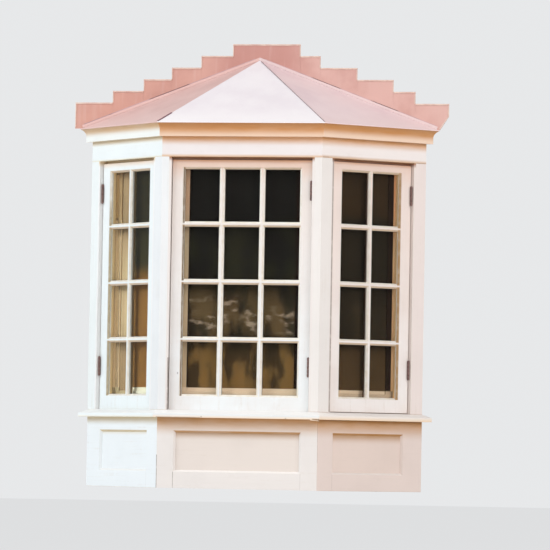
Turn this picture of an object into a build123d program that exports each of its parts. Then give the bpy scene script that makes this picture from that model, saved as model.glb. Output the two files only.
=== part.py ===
from build123d import *
from math import cos, radians, sin, tan
import os

# Canted bay window of painted timber on a wall: three casement sashes on a
# mitred sill, a panelled skirt below, a cornice and a hipped metal roof above.
# The wall plane is y = 0 and the front of the bay looks along -Y. The origin is
# the middle of the wall ledger's rear face, which bolts to the wall.

# plan, measured on the outer face of the posts
front_width = 870.0
side_run = 490.0
facet_angle = 45.0
frame_depth = 94.0

# heights, from the underside of the skirt upwards
skirt_height = 378.0
sill_thickness = 40.0
opening_height = 1357.0
frieze_height = 108.0
cornice_height = 72.0
roof_rise = 378.0

# skirt
skirt_thickness = 38.0
skirt_top_rail = 70.0
skirt_bottom_rail = 88.0
skirt_front_stile = 90.0
skirt_corner_stile = 100.0
skirt_wall_stile = 125.0
recess_depth = 14.0
recess_bevel = 11.0
panel_thickness = 12.0
panel_groove = 10.0
panel_clearance = 0.5

# sill and seat
sill_projection = 38.0
sill_fall = 18.0
sill_nose_radius = 5.0
drip_width = 7.0
drip_depth = 5.0
drip_setback = 10.0
seat_thickness = 28.0
soffit_thickness = 18.0

# posts and window frames
corner_face_front = 40.0
corner_face_side = 68.0
wall_face = 68.0
sash_recess = 22.0
jamb_thickness = 12.0
stop_width = 16.0
stop_thickness = 11.0
rear_jamb_step = 12.0
sash_gap = 4.0
sash_top_gap = 15.0
sash_bottom_gap = 4.0
head_depth = 46.0
stop_clearance = 0.3

# sashes
sash_thickness = 42.0
front_stile = 65.0
side_stile = 73.0
top_rail = 50.0
bottom_rail = 81.0
front_columns = 3
side_columns = 2
rows = 4
bar_width = 28.0
bar_web = 9.0
rebate_depth = 15.0
rebate_width = 9.5
glass_thickness = 4.0
glass_clearance = 0.5
putty_shortfall = 2.0
inner_chamfer = 6.0

# insect screens behind the stops
screen_thickness = 15.0
screen_front_stile = 82.0
screen_corner_stile = 74.0
screen_wall_stile = 100.0
screen_top_rail = 50.0
screen_bottom_rail = 104.0
screen_clearance = 0.5
mesh_thickness = 1.0
mesh_groove = 8.0

# hinges
knuckle_radius = 6.5
knuckle_length = 102.0
knuckle_clearance = 0.3
leaf_thickness = 2.4
leaf_depth = 26.0
pin_radius = 3.5
pin_height = 3.0
hinge_drop = 163.0
hinge_rise = 233.0

# cornice and head
fascia_projection = 26.0
fascia_height = 34.0
crown_projection = 48.0
crown_edge = 2.0
crown_hollow = 1.2  # radius of the hollow, times its height
head_board_thickness = 18.0
head_board_lift = 10.0

# roof
deck_thickness = 18.0
sheet_thickness = 2.0
sheet_lip = 5.0
eave_edge = 4.0
hip_gap = 0.6

# stepped flashing, one step down for each brick course, ending where bricks do
brick_course = 64.5
flashing_thickness = 3.0
cap_rise = 88.0
left_steps = (150.0, 325.0, 489.0, 645.0, 817.0, 1025.0)
right_steps = (225.0, 336.0, 540.0, 740.0, 861.0, 1046.0)
step_gap = 0.4
end_cut_width = 48.0
end_cut_height = 74.0

# wall ledger and its bolts
ledger_thickness = 38.0
bolt_hole_radius = 6.0
bolt_spacing_x = 1200.0
bolt_spacing_z = 220.0

# levels, with z = 0 at mid height of the wall ledger
ledger_height = skirt_height - soffit_thickness
base_z = -(soffit_thickness + ledger_height / 2)
sill_z = base_z + skirt_height
opening_z = sill_z + sill_thickness
head_z = opening_z + opening_height
cornice_z = head_z + frieze_height
cornice_top_z = cornice_z + cornice_height
eave_z = cornice_top_z + eave_edge
apex_z = eave_z + roof_rise

# plan figures
depth = side_run * tan(radians(facet_angle))
side_length = side_run / cos(radians(facet_angle))
mitre = tan(radians(facet_angle / 2))
wall_skew = 1 / sin(radians(facet_angle))
roof_offset = crown_projection + sheet_thickness
reach = front_width + 2 * side_run
tall = apex_z - base_z


def corner(offset):
    """Right-hand plan corner of the bay at an offset outside its posts."""
    return (front_width / 2 + offset * mitre, -(depth + offset))


def wall_end(offset):
    """Right-hand plan point where that outline meets the wall."""
    return (front_width / 2 + side_run + offset * wall_skew, 0.0)


def flipped(point):
    return (-point[0], point[1])


def prism(points, low, high):
    """Upright solid over a plan outline."""
    return Pos(0, 0, low) * extrude(make_face(Polyline(*points, close=True)), high - low)


def bay_slab(offset, low, high):
    """Solid over the whole plan of the bay, back to the wall."""
    right = [corner(offset), wall_end(offset)]
    left = [flipped(point) for point in reversed(right)]
    return prism(left + right, low, high)


def front_band(outer, inner, low, high):
    """Mitred front length of a band that runs round the bay."""
    points = [flipped(corner(inner)), flipped(corner(outer)), corner(outer), corner(inner)]
    return prism(points, low, high)


def side_band(outer, inner, low, high):
    """Mitred right-hand length of a band, cut off at the wall."""
    points = [corner(inner), corner(outer), wall_end(outer), wall_end(inner)]
    return prism(points, low, high)


def front_plane(height):
    """x along the front facet from its left corner, y up, z outwards."""
    return Plane(origin=(-front_width / 2, -depth, height), x_dir=(1, 0, 0), z_dir=(0, -1, 0))


def side_plane(height):
    """x along the right facet from its corner, y up, z outwards."""
    turn = radians(facet_angle)
    return Plane(
        origin=(front_width / 2, -depth, height),
        x_dir=(cos(turn), sin(turn), 0),
        z_dir=(sin(turn), -cos(turn), 0),
    )


def block(x, y, z):
    """Box between the low and high values of each axis."""
    size = [high - low for low, high in (x, y, z)]
    return Pos(x[0], y[0], z[0]) * Box(*size, align=(Align.MIN, Align.MIN, Align.MIN))


def moulding(profile, front):
    """Run a profile (outwards, up) along a facet, mitred at its corners."""
    turn = 0.0 if front else radians(facet_angle)
    outward = (sin(turn), -cos(turn), 0)
    along = (cos(turn), sin(turn), 0)
    start = (-front_width / 2, -depth) if front else (front_width / 2, -depth)
    origin = (start[0] + reach * along[0], start[1] + reach * along[1], 0)
    section = Plane(origin=origin, x_dir=outward, z_dir=(-along[0], -along[1], 0))
    run = extrude(section * profile, 2 * reach)
    box = profile.bounding_box()
    band = front_band if front else side_band
    zone = band(box.max.X + 1, box.min.X - 1, box.min.Y - 1, box.max.Y + 1)
    return run & zone


def export(name, shape):
    export_step(shape, os.path.join("parts", name + ".step"))


def export_pair(name, shape):
    """Write a right-hand piece and its mirror image on the left."""
    export(name + "_right", shape)
    export(name + "_left", mirror(shape, Plane.YZ))


def both_sides(shape):
    return [shape, mirror(shape, Plane.YZ)]


# base

def skirt_recess(front):
    """Where the flat of a recessed panel shows along a facet, and its height range."""
    right = front_width - skirt_front_stile if front else side_length - skirt_wall_stile
    left = skirt_front_stile if front else skirt_corner_stile
    low, high = skirt_bottom_rail, skirt_height - skirt_top_rail
    return (left + recess_bevel, right - recess_bevel), (low + recess_bevel, high - recess_bevel)


def skirt_frame(front):
    """Stile and rail frame with a bevelled edge and a groove for its panel."""
    band = front_band if front else side_band
    place = front_plane if front else side_plane
    x, y = skirt_recess(front)
    width, height = x[1] - x[0], y[1] - y[0]
    body = band(0, -skirt_thickness, base_z, sill_z)
    hole = block(x, y, (-2 * skirt_thickness, skirt_thickness))
    mouth = Pos((x[0] + x[1]) / 2, (y[0] + y[1]) / 2, -recess_depth) * loft([
        Rectangle(width, height),
        Pos(0, 0, recess_depth) * Rectangle(width + 2 * recess_bevel, height + 2 * recess_bevel),
    ], ruled=True)
    groove = block(
        (x[0] - panel_groove, x[1] + panel_groove),
        (y[0] - panel_groove, y[1] + panel_groove),
        (-recess_depth - panel_thickness - panel_clearance, -recess_depth),
    )
    cutters = [place(base_z).location * cutter for cutter in (hole, mouth, groove)]
    return body - cutters


def skirt_panel(front):
    """Flat panel that stands in the groove of its skirt frame."""
    place = front_plane if front else side_plane
    x, y = skirt_recess(front)
    edge = panel_groove - panel_clearance
    panel = block(
        (x[0] - edge, x[1] + edge),
        (y[0] - edge, y[1] + edge),
        (-recess_depth - panel_thickness, -recess_depth),
    )
    return place(base_z).location * panel


def sill(front):
    """Sill with a falling top, a rounded nose and a drip groove."""
    nose = sill_z + sill_thickness - sill_fall
    outline = Polyline(
        (-frame_depth, sill_z),
        (sill_projection, sill_z),
        (sill_projection, nose),
        (0, opening_z),
        (-frame_depth, opening_z),
        close=True,
    )
    profile = make_face(outline)
    low = sill_z + sill_nose_radius
    corners = profile.vertices().filter_by(lambda v: v.X > sill_projection / 2 and v.Y > low)
    profile = fillet(corners, sill_nose_radius)
    groove = Pos(sill_projection - drip_setback, sill_z) * Rectangle(drip_width, 2 * drip_depth)
    return moulding(profile - groove, front)


def ledger():
    """Board bolted to the wall, which carries the base of the bay."""
    board = bay_slab(-skirt_thickness, base_z + soffit_thickness, sill_z)
    board &= block((-reach, reach), (-ledger_thickness, 0), (-tall, tall))
    hole = Rot(90, 0, 0) * Cylinder(bolt_hole_radius, 4 * ledger_thickness)
    holes = [
        Pos(x * bolt_spacing_x / 2, 0, z * bolt_spacing_z / 2) * hole
        for x in (-1, 1)
        for z in (-1, 1)
    ]
    return board - holes


# posts, frames and sashes

def corner_post():
    """Post at the mitre between the front and the right-hand facet."""
    top = head_z - opening_z
    front_part = front_band(0, -frame_depth, opening_z, head_z)
    front_part &= front_plane(opening_z).location * block(
        (front_width - corner_face_front, front_width + frame_depth), (0, top), (-reach, 1)
    )
    side_part = side_band(0, -frame_depth, opening_z, head_z)
    side_part &= side_plane(opening_z).location * block(
        (-frame_depth, corner_face_side), (0, top), (-reach, 1)
    )
    return front_part + side_part


def wall_post():
    """Post against the wall at the end of the right-hand facet."""
    post = side_band(0, -frame_depth, opening_z, head_z)
    post &= side_plane(opening_z).location * block(
        (side_length - wall_face, side_length + reach), (0, opening_height), (-reach, 1)
    )
    return post


def opening(front):
    """Where an opening starts along its facet, and its width."""
    if front:
        return corner_face_front, front_width - 2 * corner_face_front
    return corner_face_side, side_length - corner_face_side - wall_face


def stop_face():
    """Depth of the stops' outer face, just behind the sashes."""
    return sash_recess + sash_thickness + stop_clearance


def in_front_of_wall(shape):
    """Trim a piece of the right-hand facet at the wall plane."""
    return shape & block((0, 2 * reach), (-reach, 0), (-tall, 2 * tall))


def window_frame(front):
    """Jambs and a set-back head, with a stop between the sash and the screen."""
    start, width = opening(front)
    x = (start, start + width)
    body = block(x, (0, opening_height), (-frame_depth, 0))
    clear = (x[0] + jamb_thickness, x[1] - jamb_thickness)
    up = (-1, opening_height - jamb_thickness)
    inset = jamb_thickness + stop_width
    cutters = [
        block(clear, up, (-stop_face(), 1)),
        block(
            (clear[0] + rear_jamb_step, clear[1] - rear_jamb_step),
            up,
            (-2 * frame_depth, -stop_face() - stop_thickness),
        ),
        block(clear, (0, 2 * opening_height), (-head_depth, 1)),
        block(
            (x[0] + inset, x[1] - inset),
            (stop_width, opening_height - inset),
            (-2 * frame_depth, 1),
        ),
    ]
    place = front_plane if front else side_plane
    frame = place(opening_z).location * (body - cutters)
    return frame if front else in_front_of_wall(frame)


def screen(front):
    """Frame of an insect screen behind the stops, and its mesh in a groove."""
    start, width = opening(front)
    inset = jamb_thickness + rear_jamb_step + screen_clearance
    x = (start + inset, start + width - inset)
    y = (screen_clearance, opening_height - jamb_thickness - screen_clearance)
    face = -stop_face() - stop_thickness - stop_clearance
    stiles = (screen_front_stile,) * 2 if front else (screen_corner_stile, screen_wall_stile)
    view_x = (x[0] + stiles[0], x[1] - stiles[1])
    view_y = (y[0] + screen_bottom_rail, y[1] - screen_top_rail)
    body = block(x, y, (face - screen_thickness, face))
    middle = face - screen_thickness / 2
    grip = mesh_groove - screen_clearance
    mesh = block(
        (view_x[0] - grip, view_x[1] + grip),
        (view_y[0] - grip, view_y[1] + grip),
        (middle - mesh_thickness / 2, middle + mesh_thickness / 2),
    )
    groove = block(
        (view_x[0] - mesh_groove, view_x[1] + mesh_groove),
        (view_y[0] - mesh_groove, view_y[1] + mesh_groove),
        (middle - mesh_thickness / 2, middle + mesh_thickness / 2),
    )
    view = block(view_x, view_y, (face - 2 * screen_thickness, 1))
    place = (front_plane if front else side_plane)(opening_z).location
    return place * (body - [view, groove]), place * mesh


def sash_size(front):
    width = opening(front)[1] - 2 * (jamb_thickness + sash_gap)
    height = opening_height - sash_top_gap - sash_bottom_gap
    return width, height


def sash_place(front):
    """Plane on the outer face of a sash, from its lower left corner."""
    place = front_plane if front else side_plane
    x = opening(front)[0] + jamb_thickness + sash_gap
    return place(opening_z).location * Pos(x, sash_bottom_gap, -sash_recess)


def stile_width(front):
    return front_stile if front else side_stile


def lites(front):
    """Low corner of each pane's sight opening, and the size they all have."""
    width, height = sash_size(front)
    columns = front_columns if front else side_columns
    stile = stile_width(front)
    pane_x = (width - 2 * stile - (columns - 1) * bar_width) / columns
    pane_y = (height - top_rail - bottom_rail - (rows - 1) * bar_width) / rows
    corners = [
        (stile + i * (pane_x + bar_width), bottom_rail + j * (pane_y + bar_width))
        for i in range(columns)
        for j in range(rows)
    ]
    return corners, pane_x, pane_y


def sash(front):
    """Casement sash: stiles and rails rebated outside for glass and putty."""
    width, height = sash_size(front)
    stile = stile_width(front)
    body = block((0, width), (0, height), (-sash_thickness, 0))
    x = (stile, width - stile)
    y = (bottom_rail, height - top_rail)
    view = block(x, y, (-2 * sash_thickness, 1))
    rebate = block(
        (x[0] - rebate_width, x[1] + rebate_width),
        (y[0] - rebate_width, y[1] + rebate_width),
        (-rebate_depth, 1),
    )
    size = (x[1] - x[0], y[1] - y[0])
    eased = Pos((x[0] + x[1]) / 2, (y[0] + y[1]) / 2, -sash_thickness) * loft([
        Rectangle(size[0] + 2 * inner_chamfer, size[1] + 2 * inner_chamfer),
        Pos(0, 0, inner_chamfer) * Rectangle(*size),
    ], ruled=True)
    return sash_place(front) * (body - [view, rebate, eased])


def glazing_bars(front):
    """Lattice of bars: a broad inner body with a narrow web between panes."""
    width, height = sash_size(front)
    stile = stile_width(front)
    corners, pane_x, pane_y = lites(front)
    body_z = (-sash_thickness + inner_chamfer, -rebate_depth)
    web_z = (-rebate_depth, -putty_shortfall / 2)
    margin = (bar_width - bar_web) / 2
    lattice = []
    for left in sorted({x for x, y in corners if x > stile + bar_width / 2}):
        y = (bottom_rail, height - top_rail)
        lattice.append(block((left - bar_width, left), y, body_z))
        y = (y[0] - rebate_width, y[1] + rebate_width)
        lattice.append(block((left - bar_width + margin, left - margin), y, web_z))
    for low in sorted({y for x, y in corners if y > bottom_rail + bar_width / 2}):
        x = (stile, width - stile)
        lattice.append(block(x, (low - bar_width, low), body_z))
        x = (x[0] - rebate_width, x[1] + rebate_width)
        lattice.append(block(x, (low - bar_width + margin, low - margin), web_z))
    return sash_place(front) * (lattice[0] + lattice[1:])


def pane_seat(x, y, front):
    """Space in the rebates round one sight opening, edge to edge."""
    width, height = sash_size(front)
    stile = stile_width(front)
    pane_x, pane_y = lites(front)[1:]
    margin = (bar_width - bar_web) / 2
    left = rebate_width if x < stile + 1 else margin
    right = rebate_width if x + pane_x > width - stile - 1 else margin
    low = rebate_width if y < bottom_rail + 1 else margin
    high = rebate_width if y + pane_y > height - top_rail - 1 else margin
    return (x - left, x + pane_x + right), (y - low, y + pane_y + high)


def glass(front):
    """One pane for each light, lying on the shoulders of the rebates."""
    panes = []
    for x, y in lites(front)[0]:
        across, up = pane_seat(x, y, front)
        panes.append(block(
            (across[0] + glass_clearance, across[1] - glass_clearance),
            (up[0] + glass_clearance, up[1] - glass_clearance),
            (-rebate_depth, -rebate_depth + glass_thickness),
        ))
    return sash_place(front) * Compound(children=panes)


def putty(front):
    """Bevelled putty round each pane, from the rebate's edge to the sight line."""
    corners, pane_x, pane_y = lites(front)
    face = -rebate_depth + glass_thickness
    top = -putty_shortfall
    fillets = []
    for x, y in corners:
        across, up = pane_seat(x, y, front)
        middle = Pos(x + pane_x / 2, y + pane_y / 2, face)
        bead = block(across, up, (face, top))
        mouth = middle * loft([
            Rectangle(pane_x, pane_y),
            Pos(0, 0, top - face) * Rectangle(
                across[1] - across[0] - putty_shortfall, up[1] - up[0] - putty_shortfall
            ),
        ], ruled=True)
        fillets.append(bead - mouth)
    return sash_place(front) * Compound(children=fillets)


def hinge():
    """Butt hinge with its leaf in the gap and its barrel on the sash, clear of the jamb."""
    reach_out = knuckle_radius + knuckle_clearance
    axis = Pos(sash_gap / 2 - reach_out, 0, reach_out) * Rot(90, 0, 0)
    barrel = axis * Cylinder(knuckle_radius, knuckle_length)
    pin = axis * Cylinder(pin_radius, knuckle_length + 2 * pin_height)
    leaf = block(
        (-leaf_thickness / 2, leaf_thickness / 2),
        (-knuckle_length / 2, knuckle_length / 2),
        (-leaf_depth, reach_out),
    )
    return barrel + pin + leaf


def hinges(front):
    """Two hinges on the right-hand edge of a sash."""
    width, height = sash_size(front)
    x = width + sash_gap / 2
    pair = [Pos(x, y, 0) * hinge() for y in (hinge_rise, height - hinge_drop)]
    return [sash_place(front) * piece for piece in pair]


# head and roof

def cornice(front):
    """Fascia with a hollow crown mould above it, run as one board."""
    crown_low = cornice_z + fascia_height
    crown_top = cornice_top_z - crown_edge
    lines = [
        Line((0, cornice_z), (fascia_projection, cornice_z)),
        Line((fascia_projection, cornice_z), (fascia_projection, crown_low)),
        RadiusArc(
            (fascia_projection, crown_low),
            (crown_projection, crown_top),
            crown_hollow * (crown_top - crown_low),
        ),
        Line((crown_projection, crown_top), (crown_projection, cornice_top_z)),
        Line((crown_projection, cornice_top_z), (0, cornice_top_z)),
        Line((0, cornice_top_z), (0, cornice_z)),
    ]
    return moulding(make_face(lines), front)


def roof_solid(drop):
    """Solid under the three slopes, lowered by a drop."""
    right = [corner(roof_offset), wall_end(roof_offset)]
    plan = [flipped(point) for point in reversed(right)] + right
    eave = [(x, y, eave_z - drop) for x, y in plan]
    foot = [(x, y, base_z) for x, y in plan]
    apex = (0, 0, apex_z - drop)
    faces = [Face(Wire.make_polygon(foot, close=True))]
    for i in range(3):
        wall = [foot[i], foot[i + 1], eave[i + 1], eave[i]]
        faces.append(Face(Wire.make_polygon(wall, close=True)))
        faces.append(Face(Wire.make_polygon([eave[i], eave[i + 1], apex], close=True)))
    back = [foot[0], eave[0], apex, eave[3], foot[3]]
    faces.append(Face(Wire.make_polygon(back, close=True)))
    return Solid(Shell(faces))


def roof_deck(under_sheet, under_deck):
    """Boarding under the sheets, thinned to a small edge at the eaves."""
    deck = under_sheet & bay_slab(crown_projection, cornice_top_z, apex_z)
    return deck - under_deck


def roof_sheets(under_sheet):
    """Three metal sheets with a lip at the eaves and open seams at the hips."""
    inside = under_sheet & bay_slab(crown_projection, base_z, apex_z)
    skin = roof_solid(0) & bay_slab(roof_offset, eave_z - sheet_lip, apex_z)
    skin -= inside
    x, y = corner(roof_offset)
    far = (2 * x, 2 * y)
    side_zone = prism([(0, 0), far, (2 * reach, far[1]), (2 * reach, 0)], base_z, base_z + 2 * tall)
    front_zone = prism([(0, 0), far, flipped(far)], base_z, base_z + 2 * tall)
    front = skin & front_zone
    shift = hip_gap * wall_skew
    side = skin & (Pos(shift, 0, 0) * side_zone)
    return front, side


def header(front, under_deck):
    """Head beam whose face is the frieze and whose top carries the deck."""
    band = front_band if front else side_band
    return band(0, -frame_depth, head_z, apex_z) & under_deck


def head_board():
    low = head_z + head_board_lift
    return bay_slab(-frame_depth, low, low + head_board_thickness)


def roof_backboard(under_deck):
    """Board on the wall that carries the back of the roof deck."""
    low = head_z + head_board_lift + head_board_thickness
    board = bay_slab(-frame_depth, low, apex_z)
    board &= block((-reach, reach), (-ledger_thickness, 0), (-tall, tall))
    return board & under_deck


def flashing_steps(ends):
    """Plates that step down from the cap, from one end of a brick to the next."""
    plates = []
    for k in range(1, len(ends)):
        x = (ends[k - 1] + step_gap, ends[k])
        top = apex_z + cap_rise - k * brick_course
        plates.append(block(x, (-flashing_thickness, 0), (eave_z, top)))
    return plates


def end_cut():
    """Corner that is snipped off the last plate on the right, down to the eave."""
    x = right_steps[-1]
    low = (x - end_cut_width, eave_z)
    outline = Polyline(low, (x, eave_z), (x, eave_z + end_cut_height), close=True)
    return extrude(Plane.XZ * make_face(outline), amount=2 * flashing_thickness, both=True)


def flashing_cap():
    x = (-left_steps[0], right_steps[0])
    return block(x, (-flashing_thickness, 0), (eave_z, apex_z + cap_rise))


def build():
    os.makedirs("parts", exist_ok=True)
    under_sheet = roof_solid(sheet_thickness)
    under_deck = roof_solid(sheet_thickness + deck_thickness)

    export("wall_ledger", ledger())
    export("soffit_board", bay_slab(-skirt_thickness, base_z, base_z + soffit_thickness))
    export("seat_board", bay_slab(-frame_depth, sill_z, sill_z + seat_thickness))
    export("head_board", head_board())
    export("roof_backboard", roof_backboard(under_deck))
    export("roof_deck", roof_deck(under_sheet, under_deck))

    export("skirt_frame_front", skirt_frame(True))
    export("skirt_panel_front", skirt_panel(True))
    export("sill_front", sill(True))
    export("window_frame_front", window_frame(True))
    export("sash_front", sash(True))
    export("glazing_bars_front", glazing_bars(True))
    export("glass_front", glass(True))
    export("header_front", header(True, under_deck))
    export("cornice_front", cornice(True))

    export_pair("skirt_frame", skirt_frame(False))
    export_pair("skirt_panel", skirt_panel(False))
    export_pair("sill", sill(False))
    export_pair("wall_post", wall_post())
    export_pair("corner_post", corner_post())
    export_pair("window_frame", window_frame(False))
    export_pair("sash", sash(False))
    export_pair("glazing_bars", glazing_bars(False))
    export_pair("glass", glass(False))
    export_pair("header", header(False, under_deck))
    export_pair("cornice", cornice(False))

    front_screen, front_mesh = screen(True)
    side_screen, side_mesh = screen(False)
    export("screen_frame_front", front_screen)
    export_pair("screen_frame", side_screen)
    export("screen_mesh", Compound(children=[front_mesh, *both_sides(side_mesh)]))

    side_putty = putty(False)
    export("putty", Compound(children=[putty(True), *both_sides(side_putty)]))
    side_hinges = [copy for piece in hinges(False) for copy in both_sides(piece)]
    export("hinges", Compound(children=hinges(True) + side_hinges))

    front_sheet, side_sheet = roof_sheets(under_sheet)
    export("roof_sheet_front", front_sheet)
    export_pair("roof_sheet", side_sheet)

    roof = roof_solid(0)
    export("flashing_cap", flashing_cap() - roof)
    left_plates = [mirror(plate, Plane.YZ) - roof for plate in flashing_steps(left_steps)]
    right_plates = [plate - [roof, end_cut()] for plate in flashing_steps(right_steps)]
    export("flashing_left", Compound(children=left_plates))
    export("flashing_right", Compound(children=right_plates))


build()
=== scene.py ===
from math import cos, radians, sin, tan

import bmesh
import bpy
from mathutils import Matrix, Vector


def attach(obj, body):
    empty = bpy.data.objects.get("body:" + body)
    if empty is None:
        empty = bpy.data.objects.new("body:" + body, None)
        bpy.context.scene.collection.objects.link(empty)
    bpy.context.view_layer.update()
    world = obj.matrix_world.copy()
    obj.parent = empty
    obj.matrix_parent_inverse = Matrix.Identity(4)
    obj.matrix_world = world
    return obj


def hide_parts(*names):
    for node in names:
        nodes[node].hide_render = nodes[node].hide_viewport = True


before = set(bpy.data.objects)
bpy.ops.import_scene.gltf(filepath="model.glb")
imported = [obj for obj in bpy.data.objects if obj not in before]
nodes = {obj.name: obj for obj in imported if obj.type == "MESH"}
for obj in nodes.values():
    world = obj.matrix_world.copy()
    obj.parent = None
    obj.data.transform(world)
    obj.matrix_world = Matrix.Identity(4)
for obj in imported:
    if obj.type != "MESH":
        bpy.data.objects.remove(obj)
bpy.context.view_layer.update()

# Sizes of the bay in metres. Heights are above the middle of the wall ledger.
FRONT = 0.870
DEPTH = 0.490
TURN = radians(45)
MITRE = tan(TURN / 2)
BASE = -0.198
JOINT_TOP = -0.110
PANEL_TOP = 0.112
SILL = 0.180
SILL_TOP = 0.220
SCREEN_FOOT = 0.346
SCREEN_TOP = 1.60
SASH_TOP = 1.562
HEAD = 1.577
CORNICE = 1.685
CORNICE_TOP = 1.757
EAVE = 1.761
EAVE_OUT = 0.050
APEX = 2.139
FLASHING_TOP = 2.227
COURSE = 0.0645
GLASS_BACK = 0.037
LEFT_STEPS = (0.150, 0.325, 0.489, 0.645, 0.817, 1.025)
RIGHT_STEPS = (0.225, 0.336, 0.540, 0.740, 0.861, 1.046)
SIDES = ("front", "left", "right")

# The camera turns left, tilts up and leans left, in degrees. Its lens is in millimetres.
CAMERA_PLACE = (4.261, -23.501, -0.004)
CAMERA_TURN, CAMERA_TILT, CAMERA_LEAN = 10.03, 2.33, 1.03
LENS, SENSOR = 287.15, 36

# Each lamp's name, place, size, power and tint. All of them face one spot.
LAMP_AIM = (0, -0.3, 0.9)
LAMPS = (
    ("sky_left", (-8.0, -5.2, 6.5), 7.0, 748, (0.92, 0.975, 1.0)),
    ("sky_right", (8.0, -6.4, 6.0), 7.0, 550, (1.0, 0.965, 0.95)),
    ("low_warm", (2.0, -7.0, -0.2), 3.5, 70, (1.0, 0.84, 0.70)),
)
FILL = (1.0, 0.98, 0.97, 1)
FILL_STRENGTH = 0.36
BACKDROP = (0.80, 0.81, 0.82, 1)
FLOOR_DROP = 0.75
FLOOR_RADIUS = 60
FLOOR_GLOW = 0.85


def put(name, data):
    """Place a new object in the scene."""
    made = bpy.data.objects.new(name, data)
    bpy.context.scene.collection.objects.link(made)
    return made


# camera, light and ground

def set_camera():
    yaw, pitch, roll = radians(CAMERA_TURN), radians(CAMERA_TILT), radians(CAMERA_LEAN)
    forward = Vector((-sin(yaw) * cos(pitch), cos(yaw) * cos(pitch), sin(pitch)))
    level = Vector((cos(yaw), sin(yaw), 0))
    upright = level.cross(forward)
    across = level * cos(roll) + upright * sin(roll)
    up = upright * cos(roll) - level * sin(roll)
    lens = bpy.data.cameras.new("photo_lens")
    lens.lens = LENS
    lens.sensor_width = SENSOR
    lens.clip_end = 200
    camera = put("photo_camera", lens)
    turned = Matrix((across, up, -forward)).transposed().to_4x4()
    camera.matrix_world = Matrix.Translation(CAMERA_PLACE) @ turned
    bpy.context.scene.camera = camera


def hang_lamp(name, place, size, power, tint):
    lamp = bpy.data.lights.new(name, "AREA")
    lamp.shape = "DISK"
    lamp.size = size
    lamp.energy = power
    lamp.color = tint
    look = Vector(LAMP_AIM) - Vector(place)
    turned = look.to_track_quat("-Z", "Y").to_matrix().to_4x4()
    put(name, lamp).matrix_world = Matrix.Translation(place) @ turned


def pale_where_seen(tree, lit, seen, output):
    """Show a plain pale colour to the camera and in reflections, and light the rest as usual."""
    path = tree.nodes.new("ShaderNodeLightPath")
    rays = path.outputs["Is Camera Ray"]
    for name in ("Is Glossy Ray", "Is Transmission Ray"):
        either = tree.nodes.new("ShaderNodeMath")
        either.operation = "MAXIMUM"
        tree.links.new(rays, either.inputs[0])
        tree.links.new(path.outputs[name], either.inputs[1])
        rays = either.outputs[0]
    mix = tree.nodes.new("ShaderNodeMixShader")
    tree.links.new(rays, mix.inputs["Fac"])
    tree.links.new(lit, mix.inputs[1])
    tree.links.new(seen, mix.inputs[2])
    tree.links.new(mix.outputs[0], output.inputs["Surface"])


def light_studio():
    bpy.context.scene.view_settings.view_transform = "Standard"
    for lamp in LAMPS:
        hang_lamp(*lamp)
    world = bpy.data.worlds.new("pale_studio")
    bpy.context.scene.world = world
    world.use_nodes = True
    tree = world.node_tree
    plain = tree.nodes["Background"]
    plain.inputs["Color"].default_value = FILL
    plain.inputs["Strength"].default_value = FILL_STRENGTH
    seen = tree.nodes.new("ShaderNodeBackground")
    seen.inputs["Color"].default_value = BACKDROP
    seen.inputs["Strength"].default_value = 1.0
    pale_where_seen(tree, plain.outputs[0], seen.outputs[0], tree.nodes["World Output"])


def lay_ground():
    bpy.ops.mesh.primitive_circle_add(
        vertices=96, radius=FLOOR_RADIUS, fill_type="NGON", location=(0, 0, BASE - FLOOR_DROP))
    ground = bpy.context.object
    ground.name = "studio_floor"
    pale = bpy.data.materials.new("pale_floor")
    pale.use_nodes = True
    tree = pale.node_tree
    shader = tree.nodes["Principled BSDF"]
    shader.inputs["Base Color"].default_value = BACKDROP
    shader.inputs["Roughness"].default_value = 0.9
    glow = tree.nodes.new("ShaderNodeEmission")
    glow.inputs["Color"].default_value = BACKDROP
    seen = tree.nodes.new("ShaderNodeMixShader")
    seen.inputs["Fac"].default_value = FLOOR_GLOW
    tree.links.new(shader.outputs[0], seen.inputs[1])
    tree.links.new(glow.outputs[0], seen.inputs[2])
    pale_where_seen(tree, shader.outputs[0], seen.outputs[0], tree.nodes["Material Output"])
    ground.data.materials.append(pale)


# finishes

# The level of shine on a matt surface, and a bend low enough for panes this thin
MATT = 0.05
GLASS_BEND = 1.12
# From one X to another, the tones of a side facet take over from those of the front
ON_SIDE = {"left": (-0.40, -0.44), "right": (0.44, 0.46)}
# Tints of painted shade on faces that look down and below the sills, for each facet
UNDER_SHADE_TINT = {"front": (194, 140, 76), "left": (220, 196, 150), "right": (184, 130, 62)}
# The dark of open joints, and of the band of painted shade among the marks
JOINT_AND_SHADE_DARK = (84, 58, 42)


def colour(red, green, blue):
    """A colour as a paint chart gives it, 0 to 255, in linear light."""
    part = [value / 255 for value in (red, green, blue)]
    linear = [
        value / 12.92 if value <= 0.04045 else ((value + 0.055) / 1.055) ** 2.4
        for value in part
    ]
    return (*linear, 1)


def darker(tone, step):
    return tuple(part - step for part in tone)


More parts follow.
